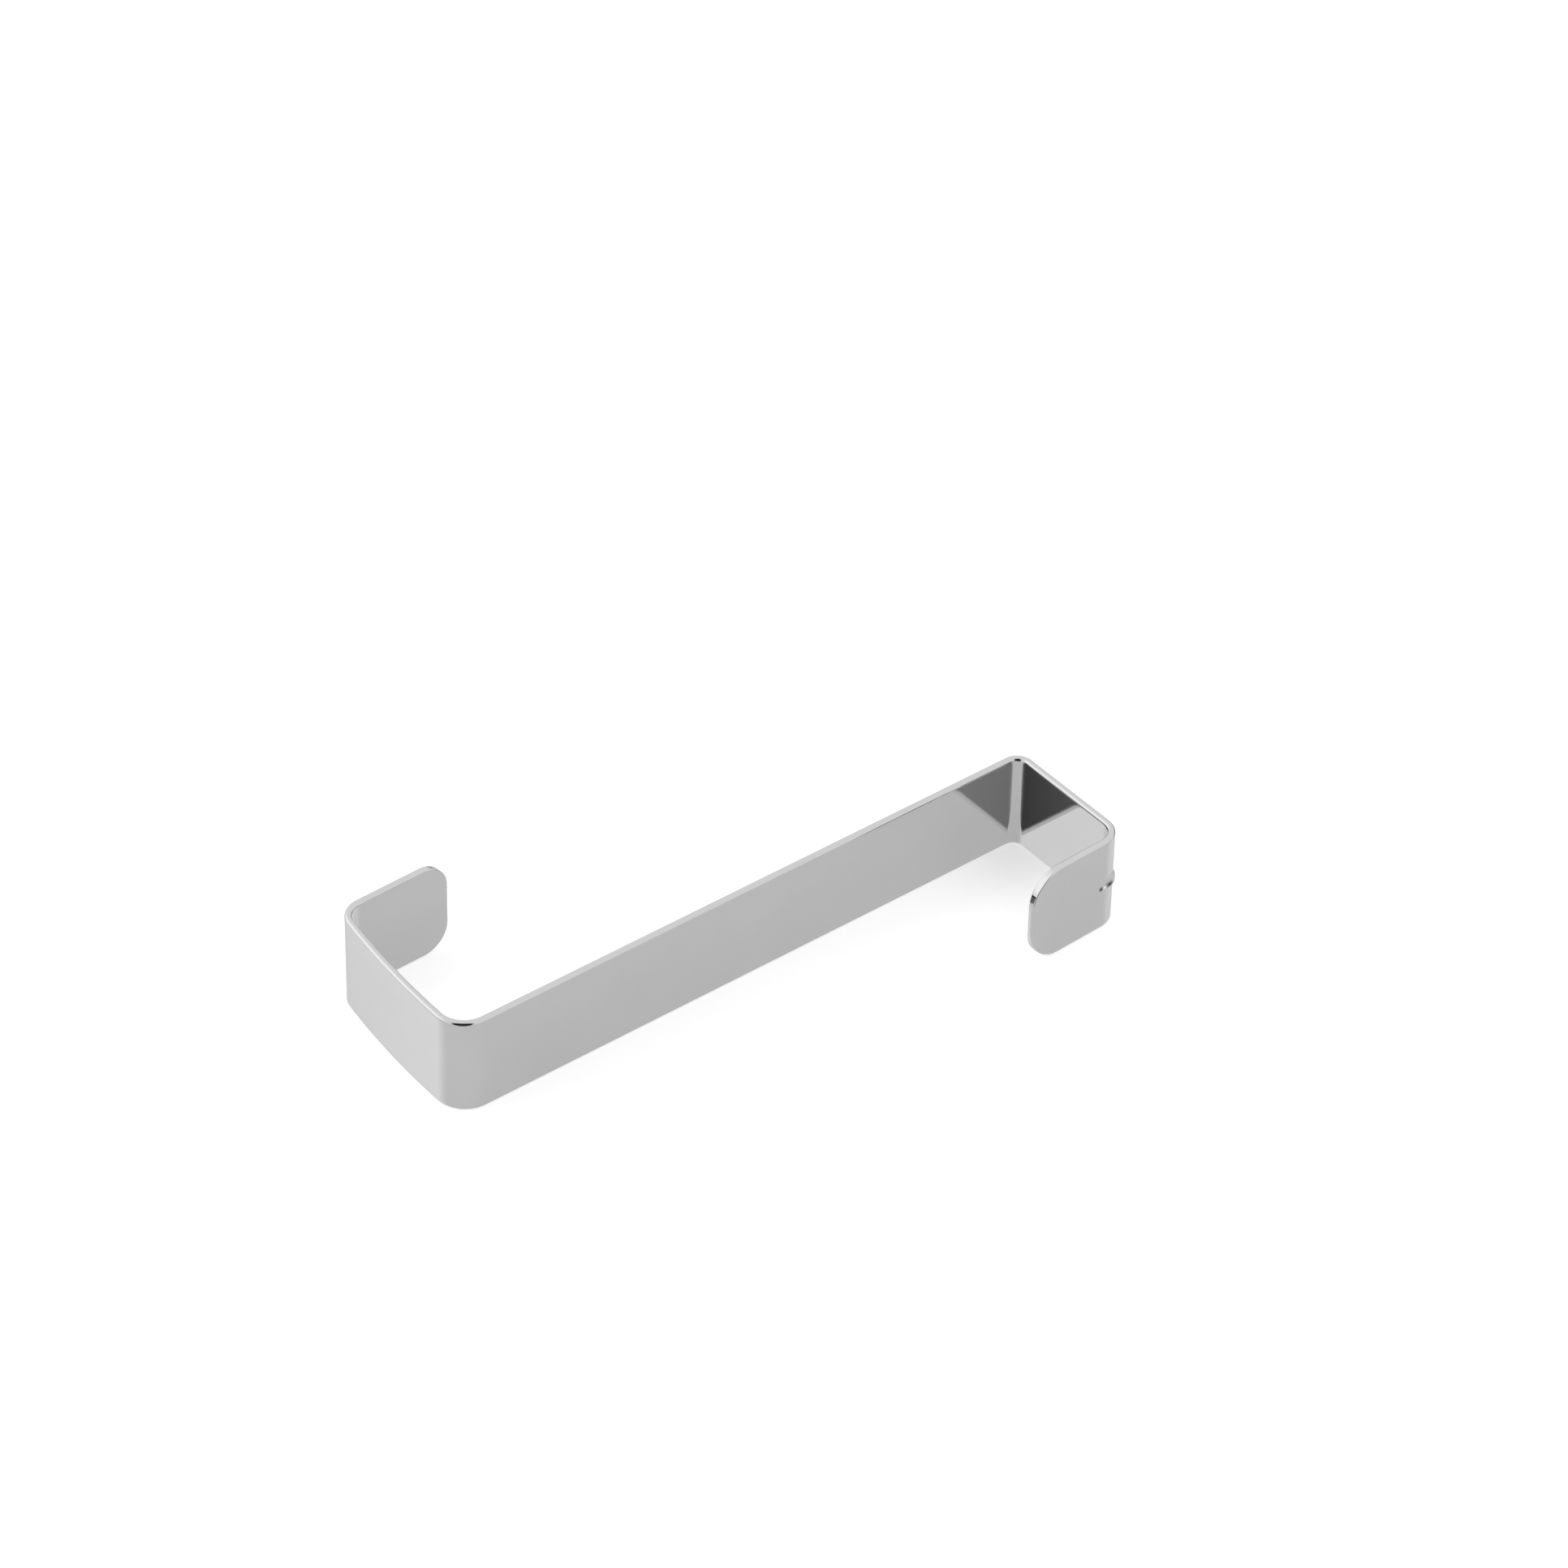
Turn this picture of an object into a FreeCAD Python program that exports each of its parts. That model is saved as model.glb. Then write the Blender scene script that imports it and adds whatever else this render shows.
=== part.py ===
"""Over door hook: one flat steel strip, bent to a clip at the top and a coat hook at the bottom.

The frame is that of the hook as it hangs: +Z up, +Y through the door from its front to its back,
X along the strip's width. The origin is the middle of the clip's underside, which rests on the
door's top edge. Lengths are in millimetres and angles in degrees.
"""
import FreeCAD, Part
import math
import os

import Sketcher

SHEET = "Sizes"
NODE = "hook_strip"

# The sizes that can be set by themselves: name, value and what it measures
SIZES = [
    ("strip_width", 26.0, "width of the flat strip"),
    ("strip_thickness", 1.9, "thickness of the flat strip"),
    ("edge_round", 0.8, "radius of the strip's rolled edges"),
    ("door_gap", 35.2, "clear space between plate and clip lip, for a 35 mm door"),
    ("clip_corner_radius", 2.6, "inside radius between clip and plate"),
    ("clip_bend_radius", 4.5, "inside radius between clip and its lip"),
    ("clip_lip_length", 22.9, "straight length of the clip's lip"),
    ("clip_lip_flare", 2.4, "angle by which the clip's lip opens outwards"),
    ("clip_tip_round", 9.8, "corner radius at the end of the clip's lip"),
    ("plate_length", 154.2, "straight length of the plate"),
    ("heel_radius", 6.3, "inside radius between plate and hook"),
    ("hook_arm_length", 38.3, "length of the hook's arm along its middle"),
    ("hook_arm_bow", 9.2, "angle through which the hook's arm curves upwards"),
    ("hook_bend_radius", 4.9, "inside radius between the hook's arm and its lip"),
    ("hook_lip_length", 25.3, "straight length of the hook's lip"),
    ("hook_lip_flare", 1.4, "angle by which the hook's lip leans outwards"),
    ("hook_tip_round", 8.2, "corner radius at the end of the hook's lip"),
    ("bead_rise", 0.7, "height of the stiffening bead pressed into the clip's bend"),
    ("bead_lean", 30.0, "angle from the clip lip's outer side up to the bead's middle"),
    ("bead_offset", 3.6, "distance of the bead's centre from the bend's own centre"),
    ("bead_blend", 0.6, "radius that blends the bead into the strip"),
]
SIZE = {name: value for name, value, _ in SIZES}

# Faces that meet at more than this many degrees make a sharp edge
SHARP_EDGE_ANGLE = 30.0


def make_sheet(doc):
    """Write the sizes into the document's sheet, one named cell each."""
    sheet = doc.addObject("Spreadsheet::Sheet", SHEET)
    for row, (name, value, meaning) in enumerate(SIZES, start=1):
        sheet.set("A%d" % row, name)
        sheet.set("B%d" % row, str(value))
        sheet.set("C%d" % row, meaning)
        sheet.setAlias("B%d" % row, name)
    doc.recompute()
    return sheet


def bind(target, path, formula):
    """Tie a property or a named constraint to the sheet: every size in the formula is a cell."""
    words = [SHEET + "." + word if word in SIZE else word for word in formula.split()]
    target.setExpression(path, " ".join(words))


def plan_stretches():
    """The strip from the clip's tip to the hook's tip: name, straight length or None, inside
    radius, turn in degrees (positive to the door's side) and the formulas that drive them."""
    s = SIZE
    arm_radius = s["hook_arm_length"] / math.radians(s["hook_arm_bow"]) - s["strip_thickness"] / 2
    arm_formula = "hook_arm_length / ( hook_arm_bow * pi / 180 ) - strip_thickness / 2"
    return [
        dict(name="clip_lip", length=s["clip_lip_length"], length_formula="clip_lip_length"),
        dict(name="clip_bend", radius=s["clip_bend_radius"], radius_formula="clip_bend_radius",
             turn=90 - s["clip_lip_flare"], turn_formula="( 90 - clip_lip_flare ) * 1 deg"),
        dict(name="clip_top", length=s["door_gap"] - s["clip_corner_radius"] - s["clip_bend_radius"],
             length_formula="door_gap - clip_corner_radius - clip_bend_radius"),
        dict(name="clip_corner", radius=s["clip_corner_radius"], radius_formula="clip_corner_radius",
             turn=90.0, turn_formula=None),
        dict(name="plate", length=s["plate_length"], length_formula="plate_length"),
        dict(name="heel", radius=s["heel_radius"], radius_formula="heel_radius",
             turn=-90.0, turn_formula="90 deg"),
        dict(name="hook_arm", radius=arm_radius, radius_formula=arm_formula,
             turn=-s["hook_arm_bow"], turn_formula="hook_arm_bow * 1 deg"),
        dict(name="hook_bend", radius=s["hook_bend_radius"], radius_formula="hook_bend_radius",
             turn=s["hook_lip_flare"] + s["hook_arm_bow"] - 90,
             turn_formula="( 90 - hook_arm_bow - hook_lip_flare ) * 1 deg"),
        dict(name="hook_lip", length=s["hook_lip_length"], length_formula="hook_lip_length"),
    ]


def step(point, angle, distance):
    """The point at a distance from another in the side view, in a direction that is given in
    degrees from +Y towards +Z: 90 is up, 180 to the front and 270 down."""
    along = math.radians(angle)
    return point + FreeCAD.Vector(math.cos(along), math.sin(along), 0) * distance


def clip_bend_centre():
    """Centre of the clip's bend in the side view, (y, z)."""
    return FreeCAD.Vector(SIZE["door_gap"] / 2 - SIZE["clip_bend_radius"], -SIZE["clip_bend_radius"], 0)


def trace(stretches, side):
    """Curves of one face of the strip from tip to tip, as (curve, first vertex, last vertex).
    side is +1 for the face towards the door and -1 for the face away from it."""
    thickness = SIZE["strip_thickness"]
    heading = 90 + SIZE["clip_lip_flare"]
    # the lip is walked backwards from the bend, so that the clip's underside comes out at z = 0
    bend_start = step(clip_bend_centre(), heading - 90, SIZE["clip_bend_radius"])
    inner_start = step(bend_start, heading + 180, SIZE["clip_lip_length"])
    point = inner_start if side > 0 else step(inner_start, heading - 90, thickness)
    curves = []
    for stretch in stretches:
        if "length" in stretch:
            end = step(point, heading, stretch["length"])
            curves.append((Part.LineSegment(point, end), 1, 2))
            point = end
            continue
        turn = stretch["turn"]
        left = turn > 0
        inside = left == (side > 0)
        radius = stretch["radius"] + (0 if inside else thickness)
        centre = step(point, heading + (90 if left else -90), radius)
        from_centre = heading - 90 if left else heading + 90
        angles = sorted([from_centre, from_centre + turn])
        circle = Part.Circle(centre, FreeCAD.Vector(0, 0, 1), radius)
        curve = Part.ArcOfCircle(circle, math.radians(angles[0]), math.radians(angles[1]))
        curves.append((curve, 1, 2) if left else (curve, 2, 1))
        heading += turn
        point = step(centre, from_centre + turn, radius)
    return curves


def name_last(sketch, name, formula):
    """Name the constraint added last, and tie it to the sheet if it has a formula."""
    sketch.renameConstraint(sketch.ConstraintCount - 1, name)
    if formula:
        bind(sketch, "Constraints." + name, formula)


def draw_outline(sketch):
    """Draw the strip's outline as seen from its side, fully constrained."""
    stretches = plan_stretches()
    door_side = trace(stretches, 1)
    front_side = trace(stretches, -1)
    count = len(stretches)
    for curve, _, _ in door_side + front_side:
        sketch.addGeometry(curve, False)

    # neighbouring stretches run into each other smoothly on both faces
    for offset, curves in ((0, door_side), (count, front_side)):
        for i in range(count - 1):
            joint = (offset + i, curves[i][2], offset + i + 1, curves[i + 1][1])
            sketch.addConstraint(Sketcher.Constraint("Tangent", *joint))

    # each stretch's length, or its radius and turn
    for i, stretch in enumerate(stretches):
        name = stretch["name"]
        if "length" in stretch:
            sketch.addConstraint(Sketcher.Constraint("Distance", i, stretch["length"]))
            name_last(sketch, name + "_length", stretch["length_formula"])
            continue
        inner = i if stretch["turn"] > 0 else count + i
        outer = count + i if stretch["turn"] > 0 else i
        sketch.addConstraint(Sketcher.Constraint("Coincident", inner, 3, outer, 3))
        sketch.addConstraint(Sketcher.Constraint("Radius", inner, stretch["radius"]))
        name_last(sketch, name + "_inside", stretch["radius_formula"])
        follows_arc = "turn" in stretches[i - 1]
        if not follows_arc:
            # an arc that runs on from another keeps the thickness by itself
            outside = stretch["radius"] + SIZE["strip_thickness"]
            sketch.addConstraint(Sketcher.Constraint("Radius", outer, outside))
            name_last(sketch, name + "_outside", stretch["radius_formula"] + " + strip_thickness")
        if stretch["turn_formula"]:
            sketch.addConstraint(Sketcher.Constraint("Angle", inner, math.radians(abs(stretch["turn"]))))
            name_last(sketch, name + "_turn", stretch["turn_formula"])

    # the two square ends
    for index in (0, count - 1):
        vertex = 1 if index == 0 else 2
        ends = [curves[index][0].StartPoint if index == 0 else curves[index][0].EndPoint
                for curves in (door_side, front_side)]
        cap = sketch.addGeometry(Part.LineSegment(*ends), False)
        sketch.addConstraint(Sketcher.Constraint("Coincident", cap, 1, index, vertex))
        sketch.addConstraint(Sketcher.Constraint("Coincident", cap, 2, count + index, vertex))
        sketch.addConstraint(Sketcher.Constraint("Perpendicular", cap, index))
        sketch.addConstraint(Sketcher.Constraint("Perpendicular", cap, count + index))

    # the clip's underside lies on z = 0 and the plate hangs straight down, half a gap in front
    names = [stretch["name"] for stretch in stretches]
    clip_top = names.index("clip_top")
    sketch.addConstraint(Sketcher.Constraint("PointOnObject", clip_top, 1, -1))
    sketch.addConstraint(Sketcher.Constraint("Horizontal", clip_top))
    plate = names.index("plate")
    sketch.addConstraint(Sketcher.Constraint("Vertical", plate))
    sketch.addConstraint(Sketcher.Constraint("DistanceX", plate, 1, -1, 1, SIZE["door_gap"] / 2))
    name_last(sketch, "plate_place", "door_gap / 2")


def new_sketch(body, name):
    """A sketch on the body's side plane, whose axes are the row's Y and Z."""
    sketch = body.newObject("Sketcher::SketchObject", name)
    plane = [item for item in body.Origin.OriginFeatures if item.Role == "YZ_Plane"][0]
    sketch.AttachmentSupport = [(plane, "")]
    sketch.MapMode = "FlatFace"
    return sketch


def edge_names(shape, wanted):
    """Names of the edges for which wanted(edge) is true."""
    return ["Edge%d" % i for i, edge in enumerate(shape.Edges, start=1) if wanted(edge)]


def across_thickness_at(shape, centre):
    """Names of the two edges that cross the thickness at the corners of a lip's square end."""
    half, thickness = SIZE["strip_width"] / 2, SIZE["strip_thickness"]

    def wanted(edge):
        middle = edge.CenterOfMass
        beside = abs(abs(middle.x) - half) < 1e-6
        offset = FreeCAD.Vector(0, middle.y - centre.x, middle.z - centre.y).Length
        return beside and offset < 1e-3 and abs(edge.Length - thickness) < 1e-6

    return edge_names(shape, wanted)


def is_sharp(shape, edge):
    """Whether the two faces at an edge meet at an angle there."""
    faces = shape.ancestorsOfType(edge, Part.Face)
    if len(faces) != 2:
        return False
    middle = edge.valueAt((edge.FirstParameter + edge.LastParameter) / 2)
    normals = [face.normalAt(*face.Surface.parameter(middle)) for face in faces]
    return normals[0].getAngle(normals[1]) > math.radians(SHARP_EDGE_ANGLE)


def is_ball_rim(shape, edge):
    """Whether an edge parts a ball's face from the strip."""
    faces = shape.ancestorsOfType(edge, Part.Face)
    return [isinstance(face.Surface, Part.Sphere) for face in faces].count(True) == 1 and len(faces) == 2


def add_fillet(body, name, edges, formula):
    """Round some edges of the body's last feature."""
    base = body.Tip
    fillet = body.newObject("PartDesign::Fillet", name)
    fillet.Base = (base, edges)
    bind(fillet, "Radius", formula)
    return fillet


def lip_ends():
    """Middle of the thickness at the clip lip's and the hook lip's square end, (y, z)."""
    stretches = plan_stretches()
    door_side, front_side = trace(stretches, 1), trace(stretches, -1)
    first = (door_side[0][0].StartPoint + front_side[0][0].StartPoint) / 2
    last = (door_side[-1][0].EndPoint + front_side[-1][0].EndPoint) / 2
    return first, last


def round_tips(body):
    """Round the corners at both ends of the strip."""
    names = ("clip_tip", "hook_tip")
    for name, centre in zip(names, lip_ends()):
        edges = across_thickness_at(body.Shape, centre)
        add_fillet(body, name + "_corners", edges, name + "_round")
        body.Document.recompute()


def draw_clip_space(sketch):
    """Draw the space that the clip's bend encloses, bounded by the strip's inner face."""
    radius, flare = SIZE["clip_bend_radius"], SIZE["clip_lip_flare"]
    centre = clip_bend_centre()
    reach = 2 * (radius + SIZE["strip_thickness"])
    low, high = step(centre, flare, radius), step(centre, 90, radius)
    far = step(high, 180, reach)
    bottom = step(far, 270, reach)
    down_the_lip = (low.y - bottom.y) / math.cos(math.radians(flare))
    foot = step(low, 270 + flare, down_the_lip)
    circle = Part.Circle(centre, FreeCAD.Vector(0, 0, 1), radius)
    sketch.addGeometry(Part.ArcOfCircle(circle, math.radians(flare), math.radians(90)), False)
    for start, end in ((high, far), (far, bottom), (bottom, foot), (foot, low)):
        sketch.addGeometry(Part.LineSegment(start, end), False)
    bend, top, front, base, lip = range(5)
    sketch.addConstraint(Sketcher.Constraint("Tangent", bend, 2, top, 1))
    sketch.addConstraint(Sketcher.Constraint("Coincident", top, 2, front, 1))
    sketch.addConstraint(Sketcher.Constraint("Coincident", front, 2, base, 1))
    sketch.addConstraint(Sketcher.Constraint("Coincident", base, 2, lip, 1))
    sketch.addConstraint(Sketcher.Constraint("Tangent", lip, 2, bend, 1))
    sketch.addConstraint(Sketcher.Constraint("Horizontal", top))
    sketch.addConstraint(Sketcher.Constraint("Vertical", front))
    sketch.addConstraint(Sketcher.Constraint("Horizontal", base))
    sketch.addConstraint(Sketcher.Constraint("PointOnObject", top, 1, -1))
    sketch.addConstraint(Sketcher.Constraint("Radius", bend, radius))
    name_last(sketch, "bend_inside", "clip_bend_radius")
    sketch.addConstraint(Sketcher.Constraint("Angle", bend, math.radians(90 - flare)))
    name_last(sketch, "bend_turn", "( 90 - clip_lip_flare ) * 1 deg")
    sketch.addConstraint(Sketcher.Constraint("DistanceX", -1, 1, bend, 3, centre.x))
    name_last(sketch, "bend_place", "door_gap / 2 - clip_bend_radius")
    sketch.addConstraint(Sketcher.Constraint("Distance", top, reach))
    name_last(sketch, "reach_along", "2 * ( clip_bend_radius + strip_thickness )")
    sketch.addConstraint(Sketcher.Constraint("Distance", front, reach))
    name_last(sketch, "reach_down", "2 * ( clip_bend_radius + strip_thickness )")


def add_ball(body, kind, name, radius_formula):
    """A ball that leans up from the lip's side of the clip's bend, added to the strip or cut from it."""
    ball = body.newObject("PartDesign::" + kind, name)
    outwards = "bead_offset * cos( bead_lean * 1 deg )"
    upwards = "bead_offset * sin( bead_lean * 1 deg )"
    bind(ball, "Radius", radius_formula)
    bind(ball, "Placement.Base.y", "door_gap / 2 - clip_bend_radius + " + outwards)
    bind(ball, "Placement.Base.z", upwards + " - clip_bend_radius")
    body.Document.recompute()
    return ball


def press_bead(body):
    """Press the bead outwards through the clip's bend: a ball stands proud of the bend, what it
    leaves in the clip's space is cleared, and a smaller ball hollows it out."""
    outer = "clip_bend_radius + strip_thickness + bead_rise - bead_offset"
    add_ball(body, "AdditiveSphere", "bead", outer)
    space = new_sketch(body, "clip_space")
    draw_clip_space(space)
    body.Document.recompute()
    clearing = body.newObject("PartDesign::Pocket", "clip_clearing")
    clearing.Profile = space
    clearing.SideType = "Symmetric"
    bind(clearing, "Length", "strip_width")
    body.Document.recompute()
    add_ball(body, "SubtractiveSphere", "bead_hollow", outer + " - strip_thickness")
    rim = edge_names(body.Shape, lambda edge: is_ball_rim(body.Shape, edge))
    add_fillet(body, "bead_foot", rim, "bead_blend")
    body.Document.recompute()


def build(doc):
    """Make the strip: pad its side view, round its tips and edges, press the bead."""
    body = doc.addObject("PartDesign::Body", "hook_strip_body")
    body.Label = NODE
    outline = new_sketch(body, "side_view")
    draw_outline(outline)
    doc.recompute()
    pad = body.newObject("PartDesign::Pad", "strip")
    pad.Profile = outline
    pad.SideType = "Symmetric"
    bind(pad, "Length", "strip_width")
    doc.recompute()
    round_tips(body)
    sharp = edge_names(body.Shape, lambda edge: is_sharp(body.Shape, edge))
    add_fillet(body, "rolled_edges", sharp, "edge_round")
    doc.recompute()
    press_bead(body)
    return body


def check(doc, body):
    """Stop if any object failed, or the strip is not one valid solid."""
    for item in doc.Objects:
        if "Invalid" in item.State or "Error" in item.State:
            raise RuntimeError("%s failed: %s" % (item.Name, item.State))
    for sketch in doc.findObjects("Sketcher::SketchObject"):
        if not sketch.FullyConstrained:
            raise RuntimeError("%s is not fully constrained" % sketch.Name)
    if body.Shape.isNull() or not body.Shape.isValid() or len(body.Shape.Solids) != 1:
        raise RuntimeError("the strip is not one valid solid")


def main():
    doc = FreeCAD.newDocument("over_door_hook")
    make_sheet(doc)
    body = build(doc)
    check(doc, body)
    os.makedirs("parts", exist_ok=True)
    body.Shape.exportStep("parts/%s.step" % body.Label)
    print("%s: volume %.1f cubic mm" % (body.Label, body.Shape.Volume))


main()
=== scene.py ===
"""Looks of the over door hook: the chrome plated strip, the studio that it mirrors and the camera.

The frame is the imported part's, in metres: +Z is up as the hook hangs, +Y goes through the door from
its front to its back and X runs along the strip's width. The hook is shown lying on one long edge,
so the studio's floor is a plane across X and the studio's up is +X.
"""
import math

import bmesh
import bpy
from bpy.props import FloatProperty, FloatVectorProperty, PointerProperty
from mathutils import Matrix, Vector


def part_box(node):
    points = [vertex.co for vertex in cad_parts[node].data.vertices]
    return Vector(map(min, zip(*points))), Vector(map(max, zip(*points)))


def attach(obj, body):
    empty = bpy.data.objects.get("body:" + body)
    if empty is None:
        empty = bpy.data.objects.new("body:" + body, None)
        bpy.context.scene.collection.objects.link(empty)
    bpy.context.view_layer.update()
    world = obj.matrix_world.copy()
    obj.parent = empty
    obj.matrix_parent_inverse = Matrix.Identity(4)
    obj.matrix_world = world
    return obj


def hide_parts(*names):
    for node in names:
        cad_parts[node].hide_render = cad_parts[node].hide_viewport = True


bl_info = {
    "name": "Over Door Hook",
    "version": (1, 0, 0),
    "blender": (4, 5, 0),
    "location": "3D View > Sidebar > Over Door Hook",
    "description": "Builds the chrome plated strip of an over door hook and a plain studio round it",
    "category": "Object",
}

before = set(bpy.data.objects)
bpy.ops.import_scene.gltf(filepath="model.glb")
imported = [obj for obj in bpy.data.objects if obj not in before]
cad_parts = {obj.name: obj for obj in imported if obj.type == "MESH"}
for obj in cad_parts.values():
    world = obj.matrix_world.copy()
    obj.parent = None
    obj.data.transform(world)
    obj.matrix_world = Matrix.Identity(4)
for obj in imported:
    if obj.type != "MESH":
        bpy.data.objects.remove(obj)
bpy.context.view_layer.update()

NODE = "hook_strip"
BODY = "root"
NODE_LOW, NODE_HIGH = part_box(NODE)
MM = 0.001

# The reference picture is square, and its focal length was found in its own pixels
PICTURE_WIDTH = 1932
FOCAL_LENGTH = 8379.5

# The studio's directions: up from its floor, along the floor to the camera, and to the camera's right
UP = Vector((1, 0, 0))
TO_CAMERA = Vector((0, 0.775, -0.632)).normalized()
CAMERA_RIGHT = Vector((0, 0.621, 0.783)).normalized()

# Brightness of the walls and the ceiling that the plating mirrors, and the sines of the elevations
# where the walls end and the ceiling starts
WALL_LEVEL, CEILING_LEVEL = 0.93, 1.12
WALLS_END, CEILING_START = -0.26, 0.34

# Zones in front of walls and ceiling: name, degrees to the right of the camera and above the floor, half
# width and half height in degrees, share of the half size over which the rim fades, and brightness
ZONES = (
    ("left wall", -101, -41, 36, 50, 1.0, 1.32),
    ("left light panel", -110, 28, 50, 40, 0.6, 1.55),
    ("open front", -3, 22, 34, 58, 0.3, 0.03),
    ("right light panel", 114, -38, 25, 25, 0.8, 1.08),
    ("far end", 145, -2, 42, 24, 0.9, 0.2),
)

# Brightness of the surroundings for every surface that isn't a mirror
AMBIENT_LEVEL = 0.6

# The floor: light that it adds for the camera, so that it is white there, how clear it is to mirrors,
# and how far it reaches on each side, in metres
FLOOR_GLOW = 0.5
FLOOR_CLEAR_IN_MIRRORS = 0.75
FLOOR_REACH = 4.0

# Lamps: name, place in metres, and power in watts. Each is a square of the same size.
LAMP_SIZE = 0.9
LAMPS = (
    ("key lamp", (0.9, -0.8, -0.9), 9.0),
    ("fill lamp", (1.1, 0.5, 0.8), 5.0),
)

# Painted light in mirror images: how much brighter a face of the strip is painted where it shows in
# another face that mirrors it, against its own look, and the ray depth at which the camera sees its first
# mirror image
MIRRORED_PAINTED_GAIN = 1.6
FIRST_IMAGE_DEPTH = 1

# Painted shade at the clip's corner: its two faces are painted darker in each other's first mirror image.
# Millimetres along the strip from the clip's tip, and the share of brightness that is kept there
CORNER_PAINTED_SHADE = ((35, 0.42), (59.5, 0.34), (64, 0.08), (88, 0.19))

# Where that holds, in millimetres. Across the strip it starts at a foot and ends at a top, each soft from
# one value to the other. The top is given at the corner's middle, and falls by a slope on both sides.
CORNER_MIDDLE = 62.1
DIMMED_FOOT = (-11.7, -10.7)
DIMMED_TOP = (14.5, 16.5)
DIMMED_SLOPE = 1.05

# Spots painted at the bead's foot: millimetres along and across the strip, radius, and how bright the
# plating is there. The two dark ones are painted dark reflections on the bead's flanks, and the bright
# one is a painted glint.
BEAD_PAINTED_REFLECTIONS = ((24.2, -0.35, 1.45, 0.02), (21.9, -0.75, 1.0, 0.02), (23.0, -0.75, 0.75, 1.7))

# The plating's unevenness in millimetres: buffing lines by their size along, across and through the
# strip, cloudy patches, and low waves with their height. The tint varies by a share to each side.
BUFFING_LINES = (25, 0.4, 25)
CLOUDY_PATCH = 16.67
LOW_WAVE, LOW_WAVE_HEIGHT = 8.33, 0.02
TINT_SPREAD = 0.03


def linear(hex_colour):
    """An sRGB hex colour as the linear colour that the shaders take."""
    channels = [int(hex_colour[i:i + 2], 16) / 255 for i in (1, 3, 5)]
    return [c / 12.92 if c <= 0.04045 else ((c + 0.055) / 1.055) ** 2.4 for c in channels]


def length(name, millimetres, description):
    """A length property, given in millimetres and kept in metres."""
    return FloatProperty(name=name, description=description, default=millimetres * MM, unit="LENGTH")


def angle(name, degrees, description):
    """An angle property, given in degrees."""
    return FloatProperty(name=name, description=description, default=math.radians(degrees),
                         unit="ROTATION")


class StripSizes(bpy.types.PropertyGroup):
    """Sizes of the flat strip and of its bends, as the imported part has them"""
    strip_width: FloatProperty(name="Strip width", description="Width of the flat strip",
                               default=NODE_HIGH.x - NODE_LOW.x, unit="LENGTH")
    strip_thickness: length("Strip thickness", 1.9, "Thickness of the flat strip")
    edge_round: length("Edge round", 0.8, "Radius of the strip's rolled edges")
    corner_edge_round: length("Corner edge round", 0.2, "Radius of the edges at the tips' corners")
    door_gap: length("Door gap", 35.2, "Clear space between plate and clip lip")
    clip_corner_radius: length("Clip corner", 2.6, "Inside radius between clip and plate")
    clip_bend_radius: length("Clip bend", 4.5, "Inside radius between clip and its lip")
    clip_lip_length: length("Clip lip", 22.9, "Straight length of the clip's lip")
    clip_lip_flare: angle("Clip lip flare", 2.4, "Angle by which the clip's lip opens outwards")
    clip_tip_round: length("Clip tip round", 9.8, "Corner radius at the end of the clip's lip")
    plate_length: length("Plate", 154.2, "Straight length of the plate")
    heel_radius: length("Heel", 6.3, "Inside radius between plate and hook")
    hook_arm_length: length("Hook arm", 38.3, "Length of the hook's arm along its middle")
    hook_arm_bow: angle("Hook arm bow", 9.2, "Angle through which the hook's arm curves upwards")
    hook_bend_radius: length("Hook bend", 4.9, "Inside radius between the hook's arm and its lip")
    hook_lip_length: length("Hook lip", 25.3, "Straight length of the hook's lip")
    hook_lip_flare: angle("Hook lip flare", 1.4, "Angle by which the hook's lip leans outwards")
    hook_tip_round: length("Hook tip round", 8.2, "Corner radius at the end of the hook's lip")
    bead_rise: length("Bead rise", 0.7, "Height of the stiffening bead in the clip's bend")
    bead_lean: angle("Bead lean", 30.0, "Angle from the clip lip's outer side up to the bead's middle")
    bead_offset: length("Bead offset", 3.6, "Distance of the bead's centre from the bend's centre")
    bead_blend: length("Bead blend", 0.1, "Depth over which the bead runs out into the strip")


class PlatingLook(bpy.types.PropertyGroup):
    """Colour and finish of the chrome plating"""
    colour: FloatVectorProperty(name="Colour", description="Colour that the plating mirrors with",
                                subtype="COLOR", size=3, default=linear("#C4C4C4"))
    polish: FloatProperty(name="Roughness", description="Roughness of the buffed surface",
                          default=0.035, min=0, max=1, subtype="FACTOR")


class StudioLook(bpy.types.PropertyGroup):
    """Floor, light and camera of the studio"""
    floor_colour: FloatVectorProperty(name="Floor", description="Colour of the studio's floor",
                                      subtype="COLOR", size=3, default=linear("#E6E6E6"))
    camera_place: FloatVectorProperty(name="Camera", description="Where the camera stands",
                                      subtype="TRANSLATION", size=3, default=(1.01937, 0.9215, -0.8378))
    camera_heading: FloatVectorProperty(name="Heading", description="Direction in which the camera looks",
                                        subtype="DIRECTION", size=3,
                                        default=(-0.628674, -0.602546, 0.491638))
    camera_roll: angle("Roll", 1.272, "Turn of the camera about the line in which it looks")


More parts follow.
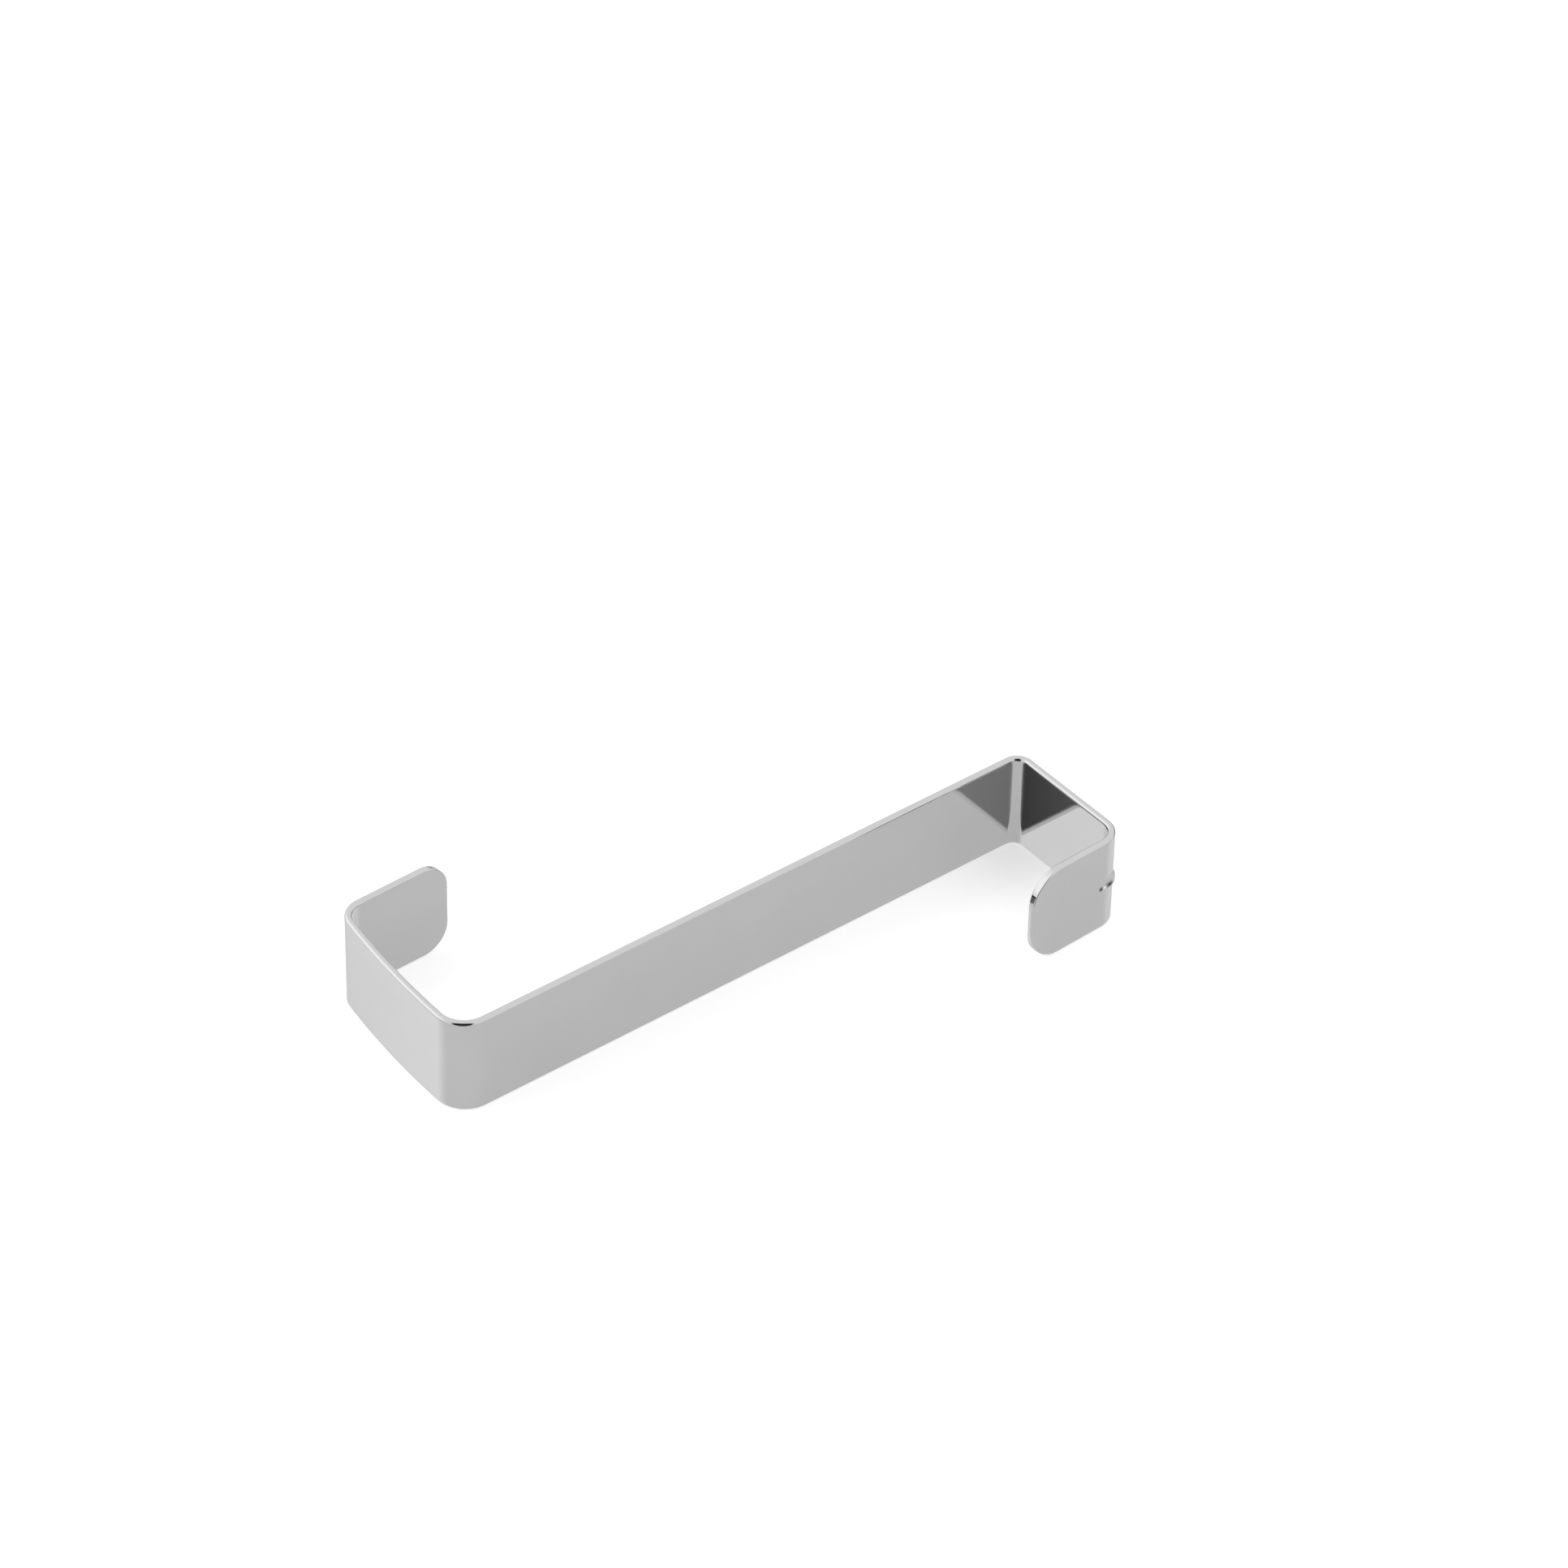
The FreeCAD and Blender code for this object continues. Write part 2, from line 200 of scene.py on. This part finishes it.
class StripPath:
    """The strip's middle line seen from its side, as (y, z), walked from the clip's tip to the hook's
    tip. Headings are in radians from +Y towards +Z, and left of the line is the door's side."""

    def __init__(self, sizes):
        half = sizes.strip_thickness / 2
        right = math.pi / 2
        clip_top = sizes.door_gap - sizes.clip_corner_radius - sizes.clip_bend_radius
        # name, length along the middle line, and turn to the left
        plan = [("clip_lip", sizes.clip_lip_length, 0.0)]
        self.add_bend(plan, "clip_bend", sizes.clip_bend_radius + half, right - sizes.clip_lip_flare)
        plan.append(("clip_top", clip_top, 0.0))
        self.add_bend(plan, "clip_corner", sizes.clip_corner_radius + half, right)
        plan.append(("plate", sizes.plate_length, 0.0))
        self.add_bend(plan, "heel", sizes.heel_radius + half, -right)
        plan.append(("hook_arm", sizes.hook_arm_length, -sizes.hook_arm_bow))
        hook_turn = right - sizes.hook_arm_bow - sizes.hook_lip_flare
        self.add_bend(plan, "hook_bend", sizes.hook_bend_radius + half, -hook_turn)
        plan.append(("hook_lip", sizes.hook_lip_length, 0.0))

        heading = right + sizes.clip_lip_flare
        self.bend_centre = Vector((sizes.door_gap / 2 - sizes.clip_bend_radius, -sizes.clip_bend_radius))
        bend_start = self.bend_centre + self.across(heading) * -(sizes.clip_bend_radius + half)
        place = bend_start - self.along(heading) * sizes.clip_lip_length
        self.stretches = []
        start = 0.0
        for name, size, turn in plan:
            self.stretches.append((name, start, size, place, heading, turn / size))
            place, heading = self.walk(place, heading, turn / size, size)
            start += size
        self.length = start

    @staticmethod
    def add_bend(plan, name, radius, turn):
        """Add a bend of a radius to the plan."""
        plan.append((name, radius * abs(turn), turn))

    @staticmethod
    def along(heading):
        """The direction of a heading."""
        return Vector((math.cos(heading), math.sin(heading)))

    @staticmethod
    def across(heading):
        """The direction to the left of a heading."""
        return Vector((-math.sin(heading), math.cos(heading)))

    def walk(self, place, heading, curve, distance):
        """The place and heading after a distance along a line of constant curve."""
        end = heading + curve * distance
        if curve == 0:
            return place + self.along(heading) * distance, heading
        return place + (self.across(heading) - self.across(end)) / curve, end

    def at(self, distance):
        """The place and heading at a distance from the clip's tip."""
        for name, start, size, place, heading, curve in self.stretches:
            if distance <= start + size or name == "hook_lip":
                return self.walk(place, heading, curve, distance - start)


def even_steps(start, end, longest):
    """Evenly spaced values from start to end, no further apart than the longest step."""
    rounding_slack = 1e-6
    count = max(1, math.ceil((end - start) / longest - rounding_slack))
    return [start + (end - start) * i / count for i in range(count + 1)]


def strip_stations(sizes, path):
    """Where the mesh has a row across the strip: distance from the clip's tip, half the width there
    and the outline's outward direction as (along, across)."""
    half = sizes.strip_width / 2
    arc_step, long_arc_step = math.radians(1.5), 4 * MM
    bead_step, flat_step = 0.2 * MM, 6 * MM
    near_bead = 3 * MM
    tip_steps = 16
    quarter = [math.pi / 2 * i / tip_steps for i in range(tip_steps + 1)]
    stations = []
    r = sizes.clip_tip_round
    for turn in quarter:
        outward = (-math.cos(turn), math.sin(turn))
        stations.append((r * (1 - math.cos(turn)), half - r * (1 - math.sin(turn)), outward))
    first, last = sizes.clip_tip_round, path.length - sizes.hook_tip_round
    marks = []
    for name, start, size, _, _, curve in path.stretches:
        if name == "clip_lip":
            marks += even_steps(first, start + size - near_bead, flat_step)
            marks += even_steps(start + size - near_bead, start + size, bead_step)
        elif name == "clip_top":
            marks += even_steps(start, start + near_bead, bead_step)
            marks += even_steps(start + near_bead, start + size, flat_step)
        elif curve:
            marks += even_steps(start, start + size, min(arc_step / abs(curve), long_arc_step))
        else:
            marks += even_steps(start, min(start + size, last), flat_step)
    for mark in sorted(set(round(m, 9) for m in marks))[1:-1]:
        stations.append((mark, half, (0.0, 1.0)))
    r = sizes.hook_tip_round
    for turn in reversed(quarter):
        distance = path.length - r * (1 - math.cos(turn))
        stations.append((distance, half - r * (1 - math.sin(turn)), (math.cos(turn), math.sin(turn))))
    return stations


def columns_across(sizes):
    """Shares of the half width, from -1 to 1, at which the mesh has a line along the strip: close
    together where the bead is pressed."""
    half = sizes.strip_width / 2
    bead_half = 4 * MM
    bead_step, plain_step = 0.2 * MM, 1.2 * MM
    right = even_steps(0, bead_half, bead_step) + even_steps(bead_half, half, plain_step)[1:]
    right = [x / half for x in right]
    return [-x for x in reversed(right[1:])] + right


class BlankMesh:
    """The strip as a flat blank that is bent along its path: all vertices come from place()."""

    def __init__(self, sizes):
        self.sizes = sizes
        self.path = StripPath(sizes)
        self.mesh = bmesh.new()
        self.flat = self.mesh.verts.layers.float_vector.new("flat_place")
        self.bead = self.path.bend_centre + self.path.along(sizes.bead_lean) * sizes.bead_offset
        self.bead_radius = (sizes.clip_bend_radius + sizes.strip_thickness + sizes.bead_rise
                            - sizes.bead_offset)

    def bead_lift(self, middle, outward, x, depth):
        """How far the bead lifts a point of the strip outwards; depth is the point's own distance
        inwards from the strip's outer face."""
        spot = middle - self.bead
        ball = self.bead_radius - depth
        along = spot.dot(outward)
        reach = along ** 2 - spot.length_squared - x ** 2 + ball ** 2
        if along <= 0 or reach <= 0:
            return 0.0
        lift = math.sqrt(reach) - along
        blend = self.sizes.bead_blend
        overlap = max(blend - abs(lift), 0) / blend
        return max(lift, 0) + overlap ** 2 * blend / 4

    def place(self, distance, x, height):
        """A vertex at a distance along the blank, x across it and a height above its middle."""
        middle, heading = self.path.at(distance)
        left = self.path.across(heading)
        point = middle + left * height
        depth = self.sizes.strip_thickness / 2 + height
        point = point - left * self.bead_lift(point, -left, x, depth)
        vertex = self.mesh.verts.new((x, point.x, point.y))
        vertex[self.flat] = (distance, x, height)
        return vertex

    def build(self):
        """The strip's mesh: the faces on both sides, and the rolled edge between them."""
        sizes = self.sizes
        stations = strip_stations(sizes, self.path)
        shares = columns_across(sizes)
        rows, columns = len(stations), len(shares)
        half = sizes.strip_thickness / 2

        def rounding(i):
            """Radius of the rolled edge at a station: it is smaller where a tip's corner turns."""
            along, across = stations[i][2]
            diagonal = abs(2 * along * across)
            return sizes.edge_round - (sizes.edge_round - sizes.corner_edge_round) * diagonal

        def spot(i, j, inset):
            """Distance and x of the outline or grid point (i, j), drawn in by an inset."""
            distance, reach, (along, across) = stations[i]
            return distance - inset * along, (reach - inset * across) * shares[j]

        faces = []
        for side in (1, -1):
            grid = [[self.place(*spot(i, j, rounding(i)), side * half) for j in range(columns)]
                    for i in range(rows)]
            faces.append(grid)
            for i in range(rows - 1):
                for j in range(columns - 1):
                    corners = (grid[i][j], grid[i][j + 1], grid[i + 1][j + 1], grid[i + 1][j])
                    self.mesh.faces.new(corners if side > 0 else corners[::-1])

        border = [(0, j) for j in range(columns - 1)]
        border += [(i, columns - 1) for i in range(rows - 1)]
        border += [(rows - 1, j) for j in range(columns - 1, 0, -1)]
        border += [(i, 0) for i in range(rows - 1, 0, -1)]
        edge_steps = 8
        turns = [math.pi / 2 * k / edge_steps for k in range(1, edge_steps + 1)]
        rings = [[faces[0][i][j] for i, j in border]]
        for side, order in ((1, turns), (-1, turns[::-1])):
            for turn in order:
                inset, drop = 1 - math.sin(turn), 1 - math.cos(turn)
                rings.append([self.place(*spot(i, j, rounding(i) * inset),
                                         side * (half - rounding(i) * drop))
                              for i, j in border])
        rings.append([faces[1][i][j] for i, j in border])
        count = len(border)
        for upper, lower in zip(rings, rings[1:]):
            for k in range(count):
                after = (k + 1) % count
                self.mesh.faces.new((upper[after], upper[k], lower[k], lower[after]))
        bmesh.ops.recalc_face_normals(self.mesh, faces=self.mesh.faces)
        data = bpy.data.meshes.new("strip")
        self.mesh.to_mesh(data)
        self.mesh.free()
        data.shade_smooth()
        return data


def add_node(tree, kind, links=(), **settings):
    """Add a node with its settings. links pairs one of its inputs with a socket or a value."""
    node = tree.nodes.new(kind)
    for name, value in settings.items():
        setattr(node, name, value)
    for name, value in dict(links).items():
        if isinstance(value, bpy.types.NodeSocket):
            tree.links.new(value, node.inputs[name])
        else:
            node.inputs[name].default_value = value
    return node


def new_material(name):
    """An empty node material and its tree."""
    material = bpy.data.materials.new(name)
    material.use_nodes = True
    material.node_tree.nodes.clear()
    return material, material.node_tree


def chrome_plating(look, thickness):
    """Bright chrome over buffed steel: a neutral grey mirror, whose reflections run a little uneven along
    the strip because the steel under it was rolled and then buffed. Its colour also carries painted
    light: where the strip shows in its own mirror images it is painted brighter, and darker at the clip's
    corner, and painted reflections mark the bead's foot."""
    material, tree = new_material("Bright chrome plating")
    place = add_node(tree, "ShaderNodeAttribute", attribute_name="flat_place").outputs["Vector"]

    # Buffing leaves lines along the strip, which are drawn wider apart: real ones are too fine to show
    line_scale = [1 / (size * MM) for size in BUFFING_LINES]
    lines_place = add_node(tree, "ShaderNodeMapping", {"Vector": place, "Scale": line_scale})
    lines = add_node(tree, "ShaderNodeTexNoise", {"Vector": lines_place.outputs["Vector"], "Scale": 1.0,
                                                  "Detail": 3.0, "Roughness": 0.6})
    roughness = add_node(tree, "ShaderNodeMapRange", {"Value": lines.outputs["Fac"], "From Min": 0.35,
                                                      "From Max": 0.7, "To Min": look.polish * 0.6,
                                                      "To Max": look.polish * 1.6})

    # The plating's tint and level vary a little in cloudy patches and low waves
    clouds = add_node(tree, "ShaderNodeTexNoise", {"Vector": place, "Scale": 1 / (CLOUDY_PATCH * MM),
                                                   "Detail": 4.0})
    tint = add_node(tree, "ShaderNodeMix", {"Factor": clouds.outputs["Fac"]}, data_type="RGBA")
    tint.inputs["A"].default_value = [*[c * (1 - TINT_SPREAD) for c in look.colour], 1]
    tint.inputs["B"].default_value = [*[c * (1 + TINT_SPREAD) for c in look.colour], 1]
    waves = add_node(tree, "ShaderNodeTexNoise", {"Vector": place, "Scale": 1 / (LOW_WAVE * MM),
                                                  "Detail": 1.0})
    bump = add_node(tree, "ShaderNodeBump", {"Height": waves.outputs["Fac"],
                                             "Distance": LOW_WAVE_HEIGHT * MM, "Strength": 0.5})

    # Painted shade: the share of brightness that the corner's two faces keep in each other
    flat = add_node(tree, "ShaderNodeSeparateXYZ", {"Vector": place})
    along, across = flat.outputs["X"], flat.outputs["Y"]
    whole = CORNER_PAINTED_SHADE[-1][0] * MM
    along_share = add_node(tree, "ShaderNodeMapRange", {"Value": along, "From Max": whole})
    kept = add_node(tree, "ShaderNodeValToRGB", {"Fac": along_share.outputs["Result"]})
    stops = kept.color_ramp.elements
    while len(stops) < len(CORNER_PAINTED_SHADE):
        stops.new(0.5)
    for stop, (distance, level) in zip(stops, CORNER_PAINTED_SHADE):
        stop.position = distance * MM / whole
        stop.color = (level, level, level, 1)

    # Where they are dimmed: above the foot, below the slanting top, and in the first mirror image
    foot_start, foot_end = DIMMED_FOOT
    above_foot = add_node(tree, "ShaderNodeMapRange", {"Value": across, "From Min": foot_start * MM,
                                                       "From Max": foot_end * MM})
    away = add_node(tree, "ShaderNodeMath", {0: along, 1: CORNER_MIDDLE * MM}, operation="SUBTRACT")
    distance = add_node(tree, "ShaderNodeMath", {0: away.outputs["Value"]}, operation="ABSOLUTE")
    slant = add_node(tree, "ShaderNodeMath", {0: distance.outputs["Value"], 1: DIMMED_SLOPE, 2: across},
                     operation="MULTIPLY_ADD")
    top_start, top_end = DIMMED_TOP
    below_top = add_node(tree, "ShaderNodeMapRange", {"Value": slant.outputs["Value"],
                                                      "From Min": top_start * MM,
                                                      "From Max": top_end * MM,
                                                      "To Min": 1.0, "To Max": 0.0})
    light_path = add_node(tree, "ShaderNodeLightPath")
    first_image = add_node(tree, "ShaderNodeMath", {0: light_path.outputs["Ray Depth"],
                                                    1: FIRST_IMAGE_DEPTH + 0.5}, operation="LESS_THAN")
    near = add_node(tree, "ShaderNodeMath", {0: above_foot.outputs["Result"],
                                             1: below_top.outputs["Result"]}, operation="MULTIPLY")
    within = add_node(tree, "ShaderNodeMath", {0: near.outputs["Value"], 1: first_image.outputs["Value"]},
                      operation="MULTIPLY")
    darker = add_node(tree, "ShaderNodeMix", {"Factor": within.outputs["Value"], "A": 1.0,
                                              "B": kept.outputs["Color"]})
    # Painted light and shade: for glossy rays the colour is scaled, brighter overall and darker at the
    # corner
    mirrored = add_node(tree, "ShaderNodeMath", {0: darker.outputs["Result"], 1: MIRRORED_PAINTED_GAIN},
                        operation="MULTIPLY")
    share = add_node(tree, "ShaderNodeMix", {"Factor": light_path.outputs["Is Glossy Ray"], "A": 1.0,
                                             "B": mirrored.outputs["Value"]})

    level = share.outputs["Result"]
    # Painted reflections at the bead's foot: two dark spots and one painted glint, mixed into the colour
    for along_mm, across_mm, radius_mm, spot_level in BEAD_PAINTED_REFLECTIONS:
        middle = (along_mm * MM, across_mm * MM, -thickness / 2)
        off = add_node(tree, "ShaderNodeVectorMath", {0: place, 1: middle}, operation="DISTANCE")
        level = add_node(tree, "ShaderNodeMapRange", {"Value": off.outputs["Value"], "To Max": level,
                                                      "From Max": radius_mm * MM, "To Min": spot_level},
                         interpolation_type="SMOOTHSTEP").outputs["Result"]
    colour = add_node(tree, "ShaderNodeVectorMath", {0: tint.outputs["Result"], "Scale": level},
                      operation="SCALE")
    shader = add_node(tree, "ShaderNodeBsdfPrincipled", {"Base Color": colour.outputs["Vector"],
                                                         "Metallic": 1.0,
                                                         "Roughness": roughness.outputs["Result"],
                                                         "Normal": bump.outputs["Normal"]})
    add_node(tree, "ShaderNodeOutputMaterial", {"Surface": shader.outputs["BSDF"]})
    return material


class HOOK_OT_strip(bpy.types.Operator):
    """Build the bent strip with its rolled edges, bead and chrome plating"""
    bl_idname = "hook.strip"
    bl_label = "Chrome strip"
    bl_options = {"REGISTER", "UNDO"}

    def execute(self, context):
        scene = context.scene
        sizes = scene.hook_sizes
        strip = bpy.data.objects.new("chrome_strip", BlankMesh(sizes).build())
        scene.collection.objects.link(strip)
        smooth = strip.modifiers.new("flat faces stay flat", "WEIGHTED_NORMAL")
        smooth.weight = 100
        strip.data.materials.append(chrome_plating(scene.hook_plating, sizes.strip_thickness))
        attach(strip, BODY)
        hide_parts(NODE)
        return {"FINISHED"}


def studio_direction(azimuth, elevation):
    """A direction in the studio from degrees to the right of the camera and above the floor."""
    turn, rise = math.radians(azimuth), math.radians(elevation)
    sideways = TO_CAMERA * math.cos(turn) + CAMERA_RIGHT * math.sin(turn)
    return sideways * math.cos(rise) + UP * math.sin(rise)


def studio_world():
    """Surroundings of the studio. The plating mirrors walls, a ceiling, light panels at both sides, and
    dark areas at the open front, where the camera stands, and at the far end. Other surfaces see them
    evenly pale, and the camera sees white."""
    world = bpy.data.worlds.new("Studio")
    world.use_nodes = True
    tree = world.node_tree
    tree.nodes.clear()
    direction = add_node(tree, "ShaderNodeTexCoord").outputs["Generated"]
    height = add_node(tree, "ShaderNodeVectorMath", {0: direction, 1: UP}, operation="DOT_PRODUCT")
    walls = add_node(tree, "ShaderNodeMapRange", {"Value": height.outputs["Value"],
                                                  "From Min": WALLS_END, "From Max": CEILING_START,
                                                  "To Min": WALL_LEVEL, "To Max": CEILING_LEVEL},
                     interpolation_type="SMOOTHSTEP")
    level = walls.outputs["Result"]
    for name, azimuth, elevation, half_width, half_height, rim, brightness in ZONES:
        middle = studio_direction(azimuth, elevation)
        across = UP.cross(middle).normalized()
        turn = Matrix((across, middle.cross(across), middle)).transposed().to_euler()
        sizes = [2 * math.sin(math.radians(half) / 2) for half in (half_width, half_height)]
        spot = add_node(tree, "ShaderNodeMapping", {"Vector": direction, "Location": middle,
                                                    "Rotation": turn, "Scale": (*sizes, max(sizes))},
                        vector_type="TEXTURE")
        round_spot = add_node(tree, "ShaderNodeTexGradient", {"Vector": spot.outputs["Vector"]},
                              gradient_type="SPHERICAL")
        share = add_node(tree, "ShaderNodeMapRange", {"Value": round_spot.outputs["Fac"],
                                                      "From Min": 0.0, "From Max": rim},
                         interpolation_type="SMOOTHSTEP", name=name)
        level = add_node(tree, "ShaderNodeMix", {"Factor": share.outputs["Result"], "A": level,
                                                 "B": brightness}).outputs["Result"]
    path = add_node(tree, "ShaderNodeLightPath")
    shown = add_node(tree, "ShaderNodeMix", {"Factor": path.outputs["Is Glossy Ray"],
                                             "A": AMBIENT_LEVEL, "B": level})
    strength = add_node(tree, "ShaderNodeMix", {"Factor": path.outputs["Is Camera Ray"],
                                                "A": shown.outputs["Result"], "B": 1.0})
    background = add_node(tree, "ShaderNodeBackground", {"Strength": strength.outputs["Result"]})
    background.inputs["Color"].default_value = (1, 1, 1, 1)
    add_node(tree, "ShaderNodeOutputWorld", {"Surface": background.outputs["Background"]})
    return world


def floor_paint(colour):
    """Matt white paint on board, evenly dull. It is white to the camera, faint in mirrors, and clear
    from its back, so that it hides nothing."""
    material, tree = new_material("Matt white paint")
    paint = add_node(tree, "ShaderNodeBsdfDiffuse", {"Color": [*colour, 1]}).outputs["BSDF"]
    glow = add_node(tree, "ShaderNodeEmission", {"Strength": FLOOR_GLOW})
    lit = add_node(tree, "ShaderNodeAddShader", {0: paint, 1: glow.outputs["Emission"]})
    clear = add_node(tree, "ShaderNodeBsdfTransparent").outputs["BSDF"]
    path = add_node(tree, "ShaderNodeLightPath")
    front = add_node(tree, "ShaderNodeMixShader", {0: path.outputs["Is Camera Ray"], 1: paint,
                                                   2: lit.outputs["Shader"]})
    faint = add_node(tree, "ShaderNodeMapRange", {"Value": path.outputs["Is Glossy Ray"],
                                                  "To Max": FLOOR_CLEAR_IN_MIRRORS})
    seen = add_node(tree, "ShaderNodeMixShader", {0: faint.outputs["Result"],
                                                  1: front.outputs["Shader"], 2: clear})
    back = add_node(tree, "ShaderNodeNewGeometry").outputs["Backfacing"]
    both = add_node(tree, "ShaderNodeMixShader", {0: back, 1: seen.outputs["Shader"], 2: clear})
    add_node(tree, "ShaderNodeOutputMaterial", {"Surface": both.outputs["Shader"]})
    return material


def add_floor(colour):
    """The studio's floor, level with the strip's lower edge."""
    level = NODE_LOW.x
    corners = [(level, y * FLOOR_REACH, z * FLOOR_REACH) for y, z in ((-1, -1), (1, -1), (1, 1), (-1, 1))]
    mesh = bpy.data.meshes.new("floor")
    mesh.from_pydata(corners, [], [(0, 1, 2, 3)])
    mesh.materials.append(floor_paint(colour))
    floor = bpy.data.objects.new("floor", mesh)
    bpy.context.scene.collection.objects.link(floor)


def add_lamp(name, place, target, power):
    """A square soft lamp that shines from a place towards a target, and that mirrors don't show."""
    lamp = bpy.data.lights.new(name, "AREA")
    lamp.size = LAMP_SIZE
    lamp.energy = power
    holder = bpy.data.objects.new(name, lamp)
    holder.location = place
    holder.rotation_euler = (Vector(target) - Vector(place)).to_track_quat("-Z", "Y").to_euler()
    holder.visible_glossy = False
    bpy.context.scene.collection.objects.link(holder)


def add_camera(studio):
    """The camera, which looks down on the floor."""
    heading = Vector(studio.camera_heading).normalized()
    right = heading.cross(UP).normalized()
    up = right.cross(heading)
    roll = studio.camera_roll
    turned_right = right * math.cos(roll) + up * math.sin(roll)
    turned_up = up * math.cos(roll) - right * math.sin(roll)
    data = bpy.data.cameras.new("Camera")
    data.lens = data.sensor_width * FOCAL_LENGTH / PICTURE_WIDTH
    camera = bpy.data.objects.new("Camera", data)
    turn = Matrix((turned_right, turned_up, -heading)).transposed()
    camera.matrix_world = Matrix.Translation(studio.camera_place) @ turn.to_4x4()
    bpy.context.scene.collection.objects.link(camera)
    bpy.context.scene.camera = camera


class HOOK_OT_studio(bpy.types.Operator):
    """Set up the floor, the surroundings, the lamps and the camera"""
    bl_idname = "hook.studio"
    bl_label = "Studio"
    bl_options = {"REGISTER", "UNDO"}

    def execute(self, context):
        scene = context.scene
        studio = scene.hook_studio
        add_floor(studio.floor_colour)
        scene.world = studio_world()
        middle = (NODE_LOW + NODE_HIGH) / 2
        for name, place, power in LAMPS:
            add_lamp(name, place, middle, power)
        add_camera(studio)
        scene.view_settings.view_transform = "Standard"
        return {"FINISHED"}


class HOOK_PT_panel(bpy.types.Panel):
    """Lists the sizes, the finish and the steps that build the hook"""
    bl_label = "Over Door Hook"
    bl_idname = "HOOK_PT_panel"
    bl_space_type = "VIEW_3D"
    bl_region_type = "UI"
    bl_category = "Over Door Hook"

    def draw(self, context):
        layout = self.layout
        for group in (context.scene.hook_sizes, context.scene.hook_plating, context.scene.hook_studio):
            box = layout.box()
            for name in group.__annotations__:
                box.prop(group, name)
        layout.operator(HOOK_OT_strip.bl_idname)
        layout.operator(HOOK_OT_studio.bl_idname)


CLASSES = (StripSizes, PlatingLook, StudioLook, HOOK_OT_strip, HOOK_OT_studio, HOOK_PT_panel)


def register():
    for cls in CLASSES:
        bpy.utils.register_class(cls)
    bpy.types.Scene.hook_sizes = PointerProperty(type=StripSizes)
    bpy.types.Scene.hook_plating = PointerProperty(type=PlatingLook)
    bpy.types.Scene.hook_studio = PointerProperty(type=StudioLook)


def unregister():
    del bpy.types.Scene.hook_studio
    del bpy.types.Scene.hook_plating
    del bpy.types.Scene.hook_sizes
    for cls in reversed(CLASSES):
        bpy.utils.unregister_class(cls)


def main():
    register()
    bpy.ops.hook.strip()
    bpy.ops.hook.studio()


if __name__ == "__main__":
    main()
